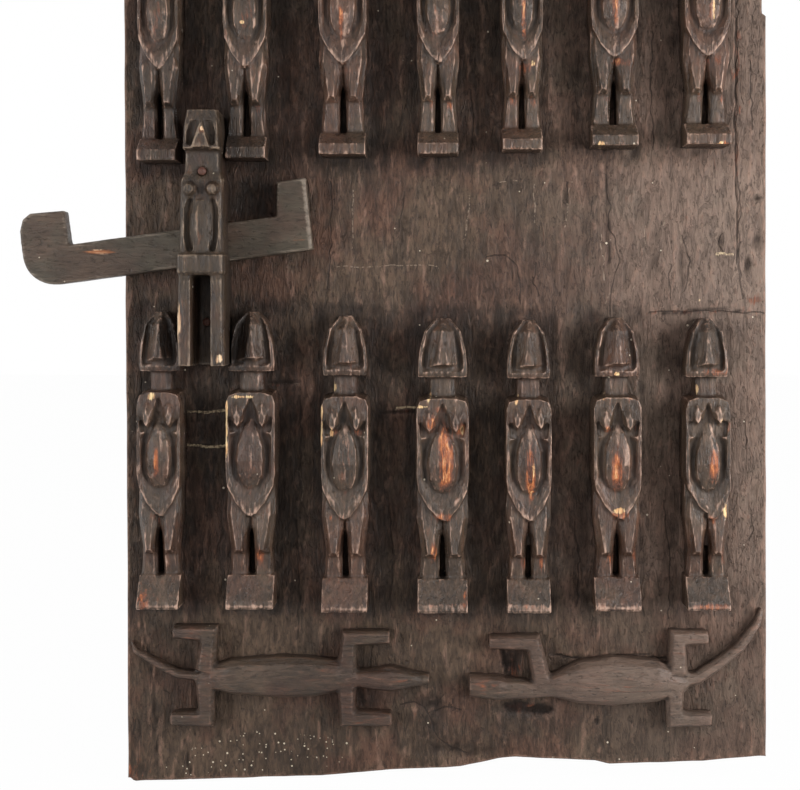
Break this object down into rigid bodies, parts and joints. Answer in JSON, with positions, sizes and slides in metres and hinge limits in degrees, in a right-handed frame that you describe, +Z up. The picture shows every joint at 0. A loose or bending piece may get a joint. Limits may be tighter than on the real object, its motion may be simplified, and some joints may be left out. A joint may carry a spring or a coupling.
{
  "type": "carved granary door",
  "caption": "Thick plank door carved with rows of standing figures and two reptiles, with a figure-shaped wooden lock and a sliding bolt.",
  "frame": {"origin": "middle of the plank's flat back face", "axes": "+X to the right and +Z up seen from the carved front, which faces -Y; +Y out of the back face"},
  "size_m": [0.5944, 0.0791, 0.766],
  "materials": {
    "plank_wood": "dark smoked and handled wood, adze marks and open grain",
    "figure_wood": "dark carved wood with worn reddish edges and orange rubbed patches",
    "lock_wood": "dark carved wood with bare chipped spots",
    "bolt_wood": "grey-brown smoothed wood",
    "peg_wood": "reddish-brown wood"
  },
  "bodies": {
    "door": {"door_panel": "plank_wood", "figure_upper_1": "figure_wood", "figure_upper_2": "figure_wood", "figure_upper_3": "figure_wood", "figure_upper_4": "figure_wood", "figure_upper_5": "figure_wood", "figure_upper_6": "figure_wood", "figure_upper_7": "figure_wood", "figure_lower_1": "figure_wood", "figure_lower_2": "figure_wood", "figure_lower_3": "figure_wood", "figure_lower_4": "figure_wood", "figure_lower_5": "figure_wood", "figure_lower_6": "figure_wood", "figure_lower_7": "figure_wood", "reptile_left": "plank_wood", "reptile_right": "plank_wood", "lock_figure": "lock_wood", "lock_peg_upper": "peg_wood", "lock_peg_lower": "peg_wood"},
    "bolt": {"lock_bolt": "bolt_wood"}
  },
  "joints": [
    {"name": "bolt_slide", "type": "slide", "parent": "door", "child": "bolt", "axis": [0.9907, 0, 0.1357], "range_m": [-0.0345, 0.0935]}
  ]
}
